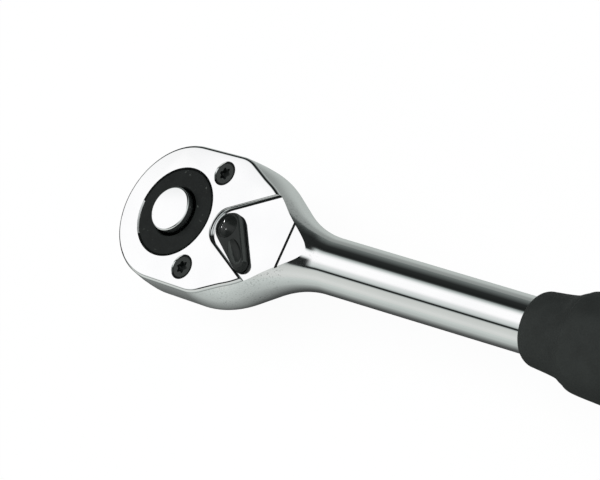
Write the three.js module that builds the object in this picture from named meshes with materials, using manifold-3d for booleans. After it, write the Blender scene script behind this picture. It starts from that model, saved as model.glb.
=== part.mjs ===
// Reversible ratchet with a half-inch square drive, a quick-release button and a rubber grip.
// Millimetres. Z runs up the drive axis, X runs along the handle to the grip, and the origin is the
// middle of the square drive's end face.
import * as THREE from "three";
import { mergeVertices } from "three/addons/utils/BufferGeometryUtils.js";
import Module from "manifold-3d";

const wasm = await Module();
wasm.setup();

const degree = Math.PI / 180;

// Fits
const runGap = 0.15; // between pieces that turn or slide on each other
const seatGap = 0.1; // between pieces that are pressed or screwed together
const tipGap = 0.2; // between the pawl's teeth and the gear's tip circle

// Square drive
const driveSquare = 12.7; // across the flats
const driveLength = 16;
const driveEdgeChamfer = 0.9; // along the square's four long edges
const driveLeadIn = 1.2; // at the end face
const collarHeight = 2; // round part of the gear below the head

// Head and cover
const headThickness = 18; // cover face to underside
const headRim = 7.1; // width of the face round the bore, with its rounded edge
const headCrown = 34; // half height of the oval that the head's sides follow
const headBottomRound = 8;
const coverThickness = 1.2;
const coverEdgeRound = 0.45;
const coverBore = 14; // radius
const screwHeadRadius = 3.45;
const screwShankRadius = 1.6;
const screwLength = 9.5;
const screwSink = 0.15; // head below the cover face
const screwRim = 1.45; // face between the bore and the screw head
const screwAngle = 50.7 * degree; // from the handle's line, about the drive axis
const lobeRadius = 1.65; // middle radius of the six-lobe socket
const lobeSwing = 0.28;
const lobeDepth = 1.3;

// Gear
const gearTeeth = 72;
const toothDepth = 0.85;
const gearLip = 0.9; // teeth stand this far past the cover bore
const gearHeight = 10.1; // toothed length
const ringRecess = 0.6; // gear's top face below the cover face
const journalRadius = 11.7; // lower journal
const gearSealSection = 0.65; // radius of the ring's round section

// Quick release
const buttonRadius = 6.85;
const buttonStand = 2.45; // above the cover face
const buttonHeight = 5;
const buttonChamfer = 0.5;
const buttonClearance = 0.65; // round the button, inside the gear
const buttonTravel = 2.4;
const ballRadius = 2.4;
const ballTravel = 0.9;
const ballHeight = 7.2; // above the end face
const pinRadius = 2.55;
const pinFoot = 4.7; // lower end of the pin above the end face
const boreFloor = 2; // solid left under the pin's bore
const springWire = 0.45; // wire radius
const springRadius = 5; // middle of the wire
const springTurns = 4;
const springRoom = 7.3; // length at rest

// Lever and pawl
const pawlDepth = 3.7; // gear's tips to the pawl's back
const pawlHeight = 6.7;
const pawlShift = 2; // each way from the middle
const pawlTeethFrom = 10 * degree;
const pawlTeethTo = 28 * degree;
const pawlBackRadius = 14.8;
const shaftRadius = 3;
const shaftToPawl = 0.8;
const shaftFootRadius = 2;
const shaftFootLength = 3;
const shaftSquare = 4; // drives the lever
const domeRadius = 3.3;
const domeHeight = 0.75;
const domeSeat = 0.35; // recess for the domed head
const domeRoom = 0.25; // round the domed head
const leverSealSection = 0.5;
const plungerRadius = 1.1;
const plungerReach = 5; // from the shaft's axis
const plungerLength = 4.1;
const plungerSpringWire = 0.17;
const plungerSpringRadius = 0.85;
const plungerSpringTurns = 3.3;
const plungerSpringRoom = 3;
const leverLength = 13.1; // pivot to the middle of the tip's round
const leverEndRadius = 4.45;
const leverTipRadius = 2.1;
const leverThickness = 1.9;
const leverLift = 0.25; // over the recess floor
const leverEdge = 0.35;
const leverSwing = 87 * degree;
const scoopLength = 3.6; // half length of the thumb hollow
const scoopWidth = 1.9;
const scoopDepth = 0.8;
const scoopPlace = 8.7; // from the pivot
const notchAngle = 26.2 * degree; // of each wall to the handle's line
const notchRadius = 5.9;
const notchForward = 0.8; // notch centre ahead of the lever's pivot

// Neck, shank and grip
const neckStart = 24.6; // where the sides turn in
const neckAngle = 32 * degree;
const neckCrown = 1.04; // height over width of the neck's round
const straightTo = 12; // the head's sides run straight to here
const edgeStart = 18.9; // corner of the face's edge
const edgeAngle = THREE.MathUtils.degToRad(26.5);
const edgeRound = 12;
const neckFrom = 27; // the head's oval turns into the neck's own round over this stretch
const neckFull = 40;
const shoulderRound = 30;
const neckFillet = 34;
const foldPlace = 44.2; // relief groove at the end of the cover's seat
const foldGroove = 0.5;
const foldGrooveDepth = 0.25;
const shankDepth = 9.73; // shank's axis below the cover face
const shankRadius = 7.95; // at the neck
const shankEndRadius = 7.4; // at the grip
const shankFlat = 0.15; // left where the section's round corners meet
const gripStart = 124.3;
const gripLength = 112;
const gripInset = 6; // shank's length inside the grip
const gripLipRadius = 9.75;
const gripLipRound = 2.6;
const gripWaistPlace = 10; // from the grip's front
const gripWaistRadius = 10.6;
const gripStepPlace = 14;
const gripBodyPlace = 20;
const gripBodyRadius = 13.2;
const gripBellyRadius = 14.6;
const gripRearRadius = 13.6;
const gripEndRound = 7;
const tangRadius = 6;
const tangLength = 78;
const coreWall = 3;
const coreEndWall = 4;

// Levels and places that follow
const headBottom = driveLength + collarHeight;
const coverFace = headBottom + headThickness;
const seatLevel = coverFace - coverThickness;
const headRadius = coverBore + headRim; // at the cover's seat
const gearTip = coverBore + gearLip;
const gearCavity = gearTip + 2 * runGap;
const gearTopTeeth = seatLevel - 2 * runGap;
const gearBottomTeeth = gearTopTeeth - gearHeight;
const cavityFloor = gearBottomTeeth - runGap;
const ringLevel = coverFace - ringRecess;
const ringHole = buttonRadius + buttonClearance;
const buttonTop = coverFace + buttonStand;
const buttonFoot = buttonTop - buttonHeight;
const springTop = buttonFoot - seatGap;
const springFoot = springTop - springRoom;
const screwReach = coverBore + screwRim + screwHeadRadius + runGap;
const screwX = screwReach * Math.cos(screwAngle);
const screwY = screwReach * Math.sin(screwAngle);
const screwHole = screwHeadRadius + screwSink + runGap; // radius of the countersink at the face
const leverPivot = gearTip + tipGap + pawlDepth + shaftToPawl + shaftRadius;
const leverRest = -leverSwing / 2;
const leverFoot = seatLevel + leverLift;
const leverTop = leverFoot + leverThickness;
const pawlInner = gearTip + tipGap;
const pawlBack = pawlInner + pawlDepth;
const pawlFoot = cavityFloor + runGap;
const pawlTop = pawlFoot + pawlHeight;
const pocketTop = pawlTop + runGap;
const plungerLevel = (pawlFoot + pawlTop) / 2;
const notchCentre = leverPivot - notchForward;
const leverSealLevel = (pocketTop + seatLevel) / 2;
const leverSealRadius = shaftRadius + runGap - leverSealSection - seatGap / 2;
const leverSealFloor = leverSealRadius - leverSealSection - seatGap / 2;
const gearSealLevel = (headBottom + cavityFloor) / 2;
const gearSealRadius = journalRadius + runGap + gearSealSection;
const gearSealFloor = gearSealRadius + gearSealSection + seatGap;
const shankLevel = coverFace - shankDepth;
const gripEnd = gripStart + gripLength;
const coreRadius = tangRadius + seatGap + coreWall;
const tangStart = gripStart + gripInset;
const tangEnd = tangStart + tangLength;
const coreStart = tangStart + seatGap;
const coreEnd = tangEnd + seatGap + coreEndWall;

// Facets
const roundSteps = 64;
const smallSteps = 28;
const gripSteps = 40;
const frontSteps = 12;
const roundingSteps = 5;
const weldDistance = 1e-4;

const materials = {
  chrome: new THREE.MeshStandardMaterial({ color: 0xd9dcde, roughness: 0.08, metalness: 1 }),
  blackSteel: new THREE.MeshStandardMaterial({ color: 0x26282a, roughness: 0.5, metalness: 0.6 }),
  brightSteel: new THREE.MeshStandardMaterial({ color: 0xb4b7b9, roughness: 0.3, metalness: 1 }),
  leverBlack: new THREE.MeshStandardMaterial({ color: 0x242625, roughness: 0.42, metalness: 0.3 }),
  rubber: new THREE.MeshStandardMaterial({ color: 0x2a2c2b, roughness: 0.85, metalness: 0 }),
  hardPlastic: new THREE.MeshStandardMaterial({ color: 0x1d1e1f, roughness: 0.6, metalness: 0 }),
};

// A closed mesh as a solid for joining and cutting, with its faces turned out
function solid(geometry) {
  const bare = geometry.clone();
  bare.deleteAttribute("normal");
  bare.deleteAttribute("uv");
  const welded = mergeVertices(bare, weldDistance);
  const points = welded.attributes.position;
  const corners = [];
  let volume = 0;
  const a = new THREE.Vector3();
  const b = new THREE.Vector3();
  const c = new THREE.Vector3();
  for (let i = 0; i < welded.index.count; i += 3) {
    const [p, q, r] = [0, 1, 2].map((k) => welded.index.getX(i + k));
    if (p === q || q === r || r === p) continue;
    corners.push(p, q, r);
    a.fromBufferAttribute(points, p);
    b.fromBufferAttribute(points, q);
    c.fromBufferAttribute(points, r);
    volume += a.dot(b.cross(c));
  }
  if (volume < 0) corners.reverse();
  return new wasm.Manifold(new wasm.Mesh({
    numProp: 3,
    vertProperties: new Float32Array(points.array),
    triVerts: new Uint32Array(corners),
  }));
}

function piece(name, body, material) {
  const result = body.getMesh();
  const geometry = new THREE.BufferGeometry();
  geometry.setAttribute("position", new THREE.BufferAttribute(result.vertProperties, 3));
  geometry.setIndex(new THREE.BufferAttribute(result.triVerts, 1));
  geometry.computeVertexNormals();
  const mesh = new THREE.Mesh(geometry, material);
  mesh.name = name;
  return mesh;
}

const joinAll = (bodies) => bodies.reduce((whole, next) => whole.add(next));
const cutAll = (body, tools) => tools.reduce((rest, tool) => rest.subtract(tool), body);

// A profile of [radius, height] pairs turned about the drive axis
function revolve(profile, steps = roundSteps) {
  const geometry = new THREE.LatheGeometry(profile.map(([r, z]) => new THREE.Vector2(r, z)), steps);
  return geometry.rotateX(Math.PI / 2);
}

// The same, turned about the shank's axis: heights become places along X
function revolveAlongShank(profile, steps = roundSteps) {
  return revolve(profile, steps).rotateY(Math.PI / 2).translate(0, 0, shankLevel);
}

function rod(radius, from, to, steps = roundSteps) {
  return revolve([[0, from], [radius, from], [radius, to], [0, to]], steps);
}

function slab(shape, from, to) {
  const geometry = new THREE.ExtrudeGeometry(
    shape, { depth: to - from, bevelEnabled: false, curveSegments: 24 });
  return geometry.translate(0, 0, from);
}

function box(x0, x1, y0, y1, z0, z1) {
  const geometry = new THREE.BoxGeometry(x1 - x0, y1 - y0, z1 - z0);
  return geometry.translate((x0 + x1) / 2, (y0 + y1) / 2, (z0 + z1) / 2);
}

function shapeOf(points) {
  return new THREE.Shape(points.map(([x, y]) => new THREE.Vector2(x, y)));
}

// A ring of round section about the drive axis
function roundRing(radius, section, level, steps) {
  const profile = [];
  const sides = 8;
  for (let k = 0; k <= sides; k++) {
    const turn = (2 * Math.PI * k) / sides;
    profile.push([radius + section * Math.cos(turn), level + section * Math.sin(turn)]);
  }
  return revolve(profile, steps);
}

// A wound spring from z = 0 to its length: one tube of five sides, eight steps to a curl
function coil(label, radius, wire, turns, length) {
  const stepsPerTurn = 8;
  const sides = 5;
  const steps = Math.round(turns * stepsPerTurn);
  const rise = length - 2 * wire;
  const middle = [];
  const points = [];
  const corners = [];
  for (let s = 0; s <= steps; s++) {
    const turn = (2 * Math.PI * s) / stepsPerTurn;
    const out = new THREE.Vector3(Math.cos(turn), Math.sin(turn), 0);
    const centre = out.clone().multiplyScalar(radius).setZ(wire + (rise * s) / steps);
    middle.push(centre);
    for (let k = 0; k < sides; k++) {
      const swing = (2 * Math.PI * k) / sides;
      const spot = centre.clone().addScaledVector(out, wire * Math.cos(swing));
      spot.z += wire * Math.sin(swing);
      points.push(spot.x, spot.y, spot.z);
    }
  }
  for (let s = 0; s < steps; s++) {
    for (let k = 0; k < sides; k++) {
      const next = (k + 1) % sides;
      const [a, b] = [s * sides + k, s * sides + next];
      corners.push(a, a + sides, b, b, a + sides, b + sides);
    }
  }
  for (let k = 1; k < sides - 1; k++) {
    corners.push(0, k, k + 1);
    const last = steps * sides;
    corners.push(last, last + k + 1, last + k);
  }
  let gap = Infinity;
  for (let i = 0; i < middle.length; i++) {
    for (let j = i + stepsPerTurn / 2; j < middle.length; j++) {
      gap = Math.min(gap, middle[i].distanceTo(middle[j]) - 2 * wire);
    }
  }
  console.log(`${label}: least gap between curls ${gap.toFixed(2)} mm`);
  const geometry = new THREE.BufferGeometry();
  geometry.setAttribute("position", new THREE.Float32BufferAttribute(points, 3));
  geometry.setIndex(corners);
  return geometry;
}

const easeBetween = (x, from, to) => THREE.MathUtils.smoothstep(x, from, to);
const mix = THREE.MathUtils.lerp;

// Plan outline at its widest, behind the drive axis: straight side, shoulder, taper, fillet, shank
const seatAbove = seatLevel - shankLevel;
const headWidest = headRadius / Math.sqrt(1 - (seatAbove / headCrown) ** 2);
const taper = Math.tan(neckAngle);
const shoulderTangent = shoulderRound * Math.tan(neckAngle / 2);
const shoulderFrom = neckStart - shoulderTangent;
const shoulderTo = neckStart + shoulderTangent * Math.cos(neckAngle);
const neckEnd = neckStart + (headWidest - shankRadius) / taper;
const filletTangent = neckFillet * Math.tan(neckAngle / 2);
const filletFrom = neckEnd - filletTangent * Math.cos(neckAngle);
const filletTo = neckEnd + filletTangent;

function shankRadiusAt(x) {
  const share = THREE.MathUtils.clamp((x - filletTo) / (gripStart - filletTo), 0, 1);
  return mix(shankRadius, shankEndRadius, share);
}

function halfWidthAt(x) {
  if (x <= shoulderFrom) return headWidest;
  if (x <= shoulderTo) {
    return headWidest - shoulderRound + Math.sqrt(shoulderRound ** 2 - (x - shoulderFrom) ** 2);
  }
  if (x <= filletFrom) return headWidest - (x - neckStart) * taper;
  if (x <= filletTo) return shankRadius + neckFillet - Math.sqrt(neckFillet ** 2 - (filletTo - x) ** 2);
  return shankRadiusAt(x);
}

// Half width of the face's edge on the head: straight side, corner, taper
function faceEdgeAt(x) {
  const bendFrom = edgeStart - edgeRound * Math.tan(edgeAngle / 2);
  if (x <= bendFrom) return headRadius;
  if (x <= bendFrom + edgeRound * Math.sin(edgeAngle)) {
    return headRadius - edgeRound + Math.sqrt(edgeRound ** 2 - (x - bendFrom) ** 2);
  }
  return Math.max(0, headRadius - (x - edgeStart) * Math.tan(edgeAngle));
}

// Half height of the oval above the shank's axis: to the face's edge on the head, the neck's own round behind
function halfHeightAt(x) {
  const width = halfWidthAt(x);
  const headHeight = seatAbove / Math.sqrt(1 - (faceEdgeAt(x) / width) ** 2);
  const neckHeight = width * mix(neckCrown, 1, easeBetween(x, foldPlace, filletTo));
  return mix(headHeight, neckHeight, easeBetween(x, neckFrom, neckFull));
}

// Half width where the cover's seat cuts the oval
function seatEdgeAt(x) {
  return halfWidthAt(x) * Math.sqrt(1 - (seatAbove / halfHeightAt(x)) ** 2);
}

// The forging's section at x: an oval's sides above, a rounded bottom edge below
function sectionAt(x) {
  const width = halfWidthAt(x);
  const height = halfHeightAt(x);
  const radius = shankRadiusAt(x);
  const under = easeBetween(x, shoulderFrom, filletTo);
  const reach = Math.min(1, (coverFace - shankLevel) / height);
  return {
    width,
    height,
    opening: Math.min(Math.asin(reach), Math.acos(shankFlat / width)),
    bottom: mix(headBottom, shankLevel - radius, under),
    bottomRound: mix(headBottomRound, radius - shankFlat, under),
  };
}

// The raw forging: sections set round the head's front, then along the handle
function forging() {
  const stations = [];
  for (let k = 0; k < frontSteps; k++) {
    const turn = Math.PI - (Math.PI / 2) * (k / frontSteps);
    const x = headWidest * Math.cos(turn);
    stations.push({ x, y: headWidest * Math.sin(turn), turn, section: sectionAt(0) });
  }
  const addStretch = (from, to, steps) => {
    for (let k = 0; k < steps; k++) {
      const x = mix(from, to, k / steps);
      stations.push({ x, y: halfWidthAt(x), turn: Math.PI / 2, section: sectionAt(x) });
    }
  };
  addStretch(0, straightTo, 1);
  addStretch(straightTo, shoulderFrom, 2);
  addStretch(shoulderFrom, shoulderTo, 14);
  addStretch(shoulderTo, filletFrom, 3);
  addStretch(filletFrom, filletTo, 12);
  addStretch(filletTo, gripStart, 4);
  addStretch(gripStart, tangStart + 1e-6, 1);
  stations.push({ x: tangStart, y: shankEndRadius, turn: Math.PI / 2, section: sectionAt(tangStart) });

  const points = [];
  const rowLength = 2 * (roundingSteps + 1);
  const profileOf = ({ section }) => {
    const profile = [];
    for (let k = 0; k <= roundingSteps; k++) {
      const swing = section.opening * (1 - k / roundingSteps);
      profile.push([section.width * (1 - Math.cos(swing)), shankLevel + section.height * Math.sin(swing)]);
    }
    for (let k = 0; k <= roundingSteps; k++) {
      const swing = (Math.PI / 2) * (k / roundingSteps);
      const r = section.bottomRound;
      profile.push([r * (1 - Math.cos(swing)), section.bottom + r * (1 - Math.sin(swing))]);
    }
    return profile;
  };
  for (const side of [1, -1]) {
    for (const station of stations) {
      for (const [inset, z] of profileOf(station)) {
        const x = station.x - inset * Math.cos(station.turn);
        const y = station.y - inset * Math.sin(station.turn);
        points.push(x, side * y, z);
      }
    }
  }
  const corners = [];
  const other = stations.length * rowLength;
  const face = (a, b, c, d) => corners.push(a, b, d, b, c, d);
  for (let s = 0; s + 1 < stations.length; s++) {
    for (let i = 0; i + 1 < rowLength; i++) {
      const a = s * rowLength + i;
      face(a, a + rowLength, a + rowLength + 1, a + 1);
      const m = a + other;
      face(m + 1, m + rowLength + 1, m + rowLength, m);
    }
    const top = s * rowLength;
    face(top + other, top + other + rowLength, top + rowLength, top);
    const low = top + rowLength - 1;
    face(low, low + rowLength, low + other + rowLength, low + other);
  }
  const last = (stations.length - 1) * rowLength;
  for (let i = 0; i + 1 < rowLength; i++) {
    face(last + i, last + other + i, last + other + i + 1, last + i + 1);
  }
  const geometry = new THREE.BufferGeometry();
  geometry.setAttribute("position", new THREE.Float32BufferAttribute(points, 3));
  geometry.setIndex(corners);
  return solid(geometry);
}

// Half-space tools reach past everything
const beyond = 400;

// Pocket behind the gear in which the pawl slides, with room on every side
function pocketShape() {
  const reach = pawlBackRadius + 2 * runGap;
  const centre = pawlBack - pawlBackRadius;
  const end = pawlShift + (pawlInner + toothDepth) * Math.sin(pawlTeethTo) + pawlShift + 2 * runGap;
  const side = end + pawlShift / 2 - 0.2;
  const openTurn = Math.asin((side - pawlShift) / reach);
  const shape = new THREE.Shape();
  const sideX = centre + reach * Math.cos(openTurn);
  const mouth = gearTip * 0.6;
  const corner = sideX - 1.9;
  shape.moveTo(mouth, -side + 1.7);
  shape.lineTo(corner, -side);
  shape.lineTo(sideX, -side);
  shape.absarc(centre, -pawlShift, reach, -openTurn, 0, false);
  shape.absarc(centre, pawlShift, reach, 0, openTurn, false);
  shape.lineTo(corner, side);
  shape.lineTo(mouth, side - 1.7);
  return shape;
}

function makeBody() {
  const tang = revolveAlongShank(
    [[0, tangStart - 1], [tangRadius, tangStart - 1], [tangRadius, tangEnd], [0, tangEnd]], gripSteps);
  const headroom = box(-beyond, beyond, -beyond, beyond, seatLevel, beyond);
  const groove = box(foldPlace - foldGroove, foldPlace, -beyond, beyond, seatLevel - foldGrooveDepth, beyond);
  const bore = [
    [0, headBottom - 1], [journalRadius + runGap, headBottom - 1], [journalRadius + runGap, cavityFloor],
    [gearCavity, cavityFloor], [gearCavity, beyond], [0, beyond],
  ];
  const sealRoom = gearSealSection + seatGap;
  const sealGroove = [
    [0, gearSealLevel - sealRoom], [gearSealFloor, gearSealLevel - sealRoom],
    [gearSealFloor, gearSealLevel + sealRoom], [0, gearSealLevel + sealRoom],
  ];
  const shaftBore = revolve([
    [0, cavityFloor - shaftFootLength], [shaftFootRadius + runGap, cavityFloor - shaftFootLength],
    [shaftFootRadius + runGap, cavityFloor], [shaftRadius + runGap, cavityFloor],
    [shaftRadius + runGap, beyond], [0, beyond],
  ], smallSteps).translate(leverPivot, 0, 0);
  const swingRoom = plungerReach * Math.sin(leverSwing / 2) + plungerRadius;
  const window = box(pawlBack - 1, leverPivot, -swingRoom, swingRoom, cavityFloor, pocketTop);
  const tools = [
    headroom, groove, revolve(bore), revolve(sealGroove), shaftBore,
    slab(pocketShape(), cavityFloor, pocketTop), window,
  ].map(solid);
  for (const side of [1, -1]) {
    tools.push(solid(screwProfile(runGap, screwLength + 1).translate(screwX, side * screwY, 0)));
  }
  return cutAll(forging().add(solid(tang)), tools);
}

// Countersunk screw, or the hole for it when given room
function screwProfile(room, length) {
  const top = coverFace - screwSink;
  const cone = screwHeadRadius - screwShankRadius;
  const profile = [
    [0, top - cone - length], [screwShankRadius + room, top - cone - length],
    [screwShankRadius + room, top - cone - room], [screwHeadRadius + room, top - room],
  ];
  if (room > 0) profile.push([screwHole, coverFace], [screwHole, coverFace + 1], [0, coverFace + 1]);
  else profile.push([0, top]);
  return revolve(profile, smallSteps);
}

function makeScrew(side) {
  const points = [];
  const lobePoints = 36;
  for (let k = 0; k < lobePoints; k++) {
    const turn = (2 * Math.PI * k) / lobePoints;
    const r = lobeRadius + lobeSwing * Math.cos(6 * turn);
    points.push([r * Math.cos(turn), r * Math.sin(turn)]);
  }
  const socket = slab(shapeOf(points), coverFace - screwSink - lobeDepth, coverFace + 1);
  return solid(screwProfile(0, screwLength)).subtract(solid(socket)).translate([screwX, side * screwY, 0]);
}

// Cover plate: the head's outline with a rounded top edge, notched for the lever
function makeCover() {
  const rear = notchCentre + 15;
  const outline = new THREE.Shape();
  const sideSteps = 14;
  const stretch = [];
  for (let k = 0; k <= sideSteps; k++) {
    const x = mix(straightTo, rear, k / sideSteps);
    stretch.push([x, seatEdgeAt(x)]);
  }
  outline.moveTo(rear, seatEdgeAt(rear));
  for (const [x, y] of stretch.slice().reverse().slice(1)) outline.lineTo(x, y);
  outline.lineTo(0, headRadius);
  outline.absarc(0, 0, headRadius, Math.PI / 2, 1.5 * Math.PI, false);
  for (const [x, y] of stretch) outline.lineTo(x, -y);
  const plate = new THREE.ExtrudeGeometry(outline, {
    depth: coverThickness, bevelEnabled: true, bevelThickness: coverEdgeRound, bevelSize: coverEdgeRound,
    bevelOffset: -coverEdgeRound, bevelSegments: 3, curveSegments: 2 * frontSteps,
  });
  plate.translate(0, 0, coverFace - coverThickness - coverEdgeRound);
  const below = box(-beyond, beyond, -beyond, beyond, -beyond, seatLevel + seatGap);
  const tools = [below, slab(notchShape(), 0, beyond), rod(coverBore, 0, beyond, 96)].map(solid);
  for (const side of [1, -1]) {
    tools.push(solid(screwProfile(runGap, screwLength).translate(screwX, side * screwY, 0)));
  }
  return cutAll(solid(plate), tools);
}

// V-shaped recess: a round end about the notch's centre and two straight walls that spread to the handle
function notchShape() {
  const shape = new THREE.Shape();
  const wall = 40;
  const reachX = wall * Math.cos(notchAngle);
  const reachY = wall * Math.sin(notchAngle);
  const touchX = notchCentre - notchRadius * Math.sin(notchAngle);
  const touchY = notchRadius * Math.cos(notchAngle);
  shape.moveTo(touchX + reachX, touchY + reachY);
  shape.lineTo(touchX, touchY);
  shape.absarc(notchCentre, 0, notchRadius, Math.PI / 2 + notchAngle, 1.5 * Math.PI - notchAngle, false);
  shape.lineTo(touchX + reachX, -touchY - reachY);
  return shape;
}

// Gear: fine teeth between two journals, the square drive below, and the quick release's bores
function makeGear() {
  const points = [];
  const root = gearTip - toothDepth;
  const pitch = (2 * Math.PI) / gearTeeth;
  const tipShare = 0.22;
  const rootShare = 0.72;
  for (let k = 0; k < gearTeeth; k++) {
    const turn = k * pitch;
    for (const [share, r] of [[0, gearTip], [tipShare, gearTip], [0.5, root], [rootShare, root]]) {
      points.push([r * Math.cos(turn + share * pitch), r * Math.sin(turn + share * pitch)]);
    }
  }
  const teeth = slab(shapeOf(points), gearBottomTeeth, gearTopTeeth);
  const journals = revolve([
    [0, driveLength], [journalRadius - 0.8, driveLength], [journalRadius, driveLength + 0.8],
    [journalRadius, gearBottomTeeth + 1], [coverBore - 4 * runGap, gearBottomTeeth + 1],
    [coverBore - 4 * runGap, gearTopTeeth - 1], [coverBore - 1.6 * runGap, gearTopTeeth - 1],
    [coverBore - 1.6 * runGap, ringLevel - 0.2], [coverBore - 1.6 * runGap - 0.2, ringLevel], [0, ringLevel],
  ]);
  const flat = driveSquare / 2;
  const cut = flat - driveEdgeChamfer;
  const square = shapeOf([
    [flat, -cut], [flat, cut], [cut, flat], [-cut, flat],
    [-flat, cut], [-flat, -cut], [-cut, -flat], [cut, -flat],
  ]);
  const tool = slab(square, 0, driveLength + 1);
  const nose = revolve([
    [0, 0], [driveSquare / 2 - driveLeadIn * 0.2, 0], [driveSquare, driveLeadIn * 3.6],
    [driveSquare, beyond], [0, beyond],
  ]);
  const drive = solid(tool).intersect(solid(nose));
  const bores = revolve([
    [0, boreFloor], [pinRadius + runGap, boreFloor], [pinRadius + runGap, springFoot - seatGap],
    [ringHole, springFoot - seatGap], [ringHole, ringLevel - 0.3],
    [ringHole + 0.3, ringLevel], [ringHole + 0.3, beyond],
    [0, beyond],
  ], 48);
  const ballHole = rod(ballRadius + runGap, 0, driveSquare, smallSteps);
  ballHole.rotateX(Math.PI / 2).translate(0, 0, ballHeight);
  return cutAll(joinAll([solid(teeth), solid(journals), drive]), [bores, ballHole].map(solid));
}

function makeButton() {
  const socketTop = buttonTop - 1.8;
  return solid(revolve([
    [pinRadius + seatGap, buttonFoot], [buttonRadius - 0.3, buttonFoot], [buttonRadius, buttonFoot + 0.3],
    [buttonRadius, buttonTop - buttonChamfer], [buttonRadius - buttonChamfer, buttonTop], [0, buttonTop],
    [0, socketTop], [pinRadius + seatGap, socketTop], [pinRadius + seatGap, buttonFoot],
  ], 64));
}

// Release pin: the ball rides on its taper, so the ball moves in steadily as the pin goes down
const ballRest = driveSquare / 2 + ballTravel - ballRadius; // middle of the ball from the drive axis
const taperSlope = ballTravel / buttonTravel;
const taperTilt = Math.atan(taperSlope);
const taperAtBall = ballRest - (ballRadius + runGap) / Math.cos(taperTilt);

function makePin() {
  const taperFrom = ballHeight - (pinRadius - taperAtBall) / taperSlope;
  const taperTo = ballHeight + buttonTravel;
  const slim = taperAtBall - ballTravel;
  const grooveEnd = taperTo + ballRadius;
  return solid(revolve([
    [0, pinFoot], [pinRadius - 0.4, pinFoot], [pinRadius, pinFoot + 0.4],
    [pinRadius, taperFrom], [slim, taperTo], [slim, grooveEnd - 1], [pinRadius, grooveEnd],
    [pinRadius, buttonTop - 1.8 - seatGap], [0, buttonTop - 1.8 - seatGap],
  ], smallSteps));
}

// Crescent pawl, built in the middle of its slide. Each half's teeth lie on the gear's circle when the pawl
// is shifted that half's way, and the nose of the plunger sweeps the hollow in its back.
function makePawl() {
  const pitch = (2 * Math.PI) / gearTeeth;
  const half = [];
  const toothRoot = pawlInner + toothDepth;
  const count = Math.floor((pawlTeethTo - pawlTeethFrom) / pitch);
  for (let k = 0; k < count; k++) {
    const turn = pawlTeethFrom + k * pitch;
    for (const [share, r] of [[0, toothRoot], [0.22, toothRoot], [0.5, pawlInner], [0.72, pawlInner]]) {
      const place = turn + share * pitch;
      half.push([r * Math.cos(place), pawlShift + r * Math.sin(place)]);
    }
  }
  const endTurn = pawlTeethFrom + count * pitch;
  half.push([toothRoot * Math.cos(endTurn), pawlShift + toothRoot * Math.sin(endTurn)]);
  const centre = pawlBack - pawlBackRadius;
  const endY = half[half.length - 1][1] + 0.5;
  const backTurn = Math.asin(endY / pawlBackRadius);
  const shape = new THREE.Shape();
  const path = half.slice().reverse().map(([x, y]) => [x, y]).concat(half.map(([x, y]) => [x, -y]));
  shape.moveTo(...path[0]);
  for (const [x, y] of path.slice(1)) shape.lineTo(x, y);
  shape.absarc(centre, 0, pawlBackRadius, -backTurn, backTurn, false);
  const sweepSteps = 10;
  const noses = [];
  for (let k = 0; k <= sweepSteps; k++) {
    const share = mix(-1, 1, k / sweepSteps);
    const nose = slab(noseShape(runGap + 0.1), pawlFoot - 1, pawlTop + 1);
    nose.rotateZ(-share * leverSwing / 2).translate(leverPivot, -share * pawlShift, 0);
    noses.push(solid(nose));
  }
  return solid(slab(shape, pawlFoot, pawlTop)).subtract(joinAll(noses)).translate([0, pawlShift, 0]);
}

// Outline of the plunger seen from above, pointing along -X from the shaft's axis
function noseShape(room) {
  const shape = new THREE.Shape();
  const half = plungerRadius + room;
  const tip = plungerReach - plungerRadius;
  shape.moveTo(-shaftRadius / 2, half);
  shape.lineTo(-tip, half);
  shape.absarc(-tip, 0, half, Math.PI / 2, 1.5 * Math.PI, false);
  shape.lineTo(-shaftRadius / 2, -half);
  return shape;
}

// Turns what was made along the drive axis so that it points from the shaft's axis at the gear
function aimAtPawl(geometry) {
  return geometry.rotateY(-Math.PI / 2).rotateZ(leverRest).translate(leverPivot, 0, plungerLevel);
}

function makePlunger() {
  const profile = [[0, plungerReach - plungerLength], [plungerRadius, plungerReach - plungerLength]];
  const noseSteps = 5;
  for (let k = 0; k <= noseSteps; k++) {
    const swing = (Math.PI / 2) * (k / noseSteps);
    const level = plungerReach - plungerRadius * (1 - Math.sin(swing));
    profile.push([k === noseSteps ? 0 : plungerRadius * Math.cos(swing), level]);
  }
  return solid(aimAtPawl(revolve(profile, 20)));
}

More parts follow.
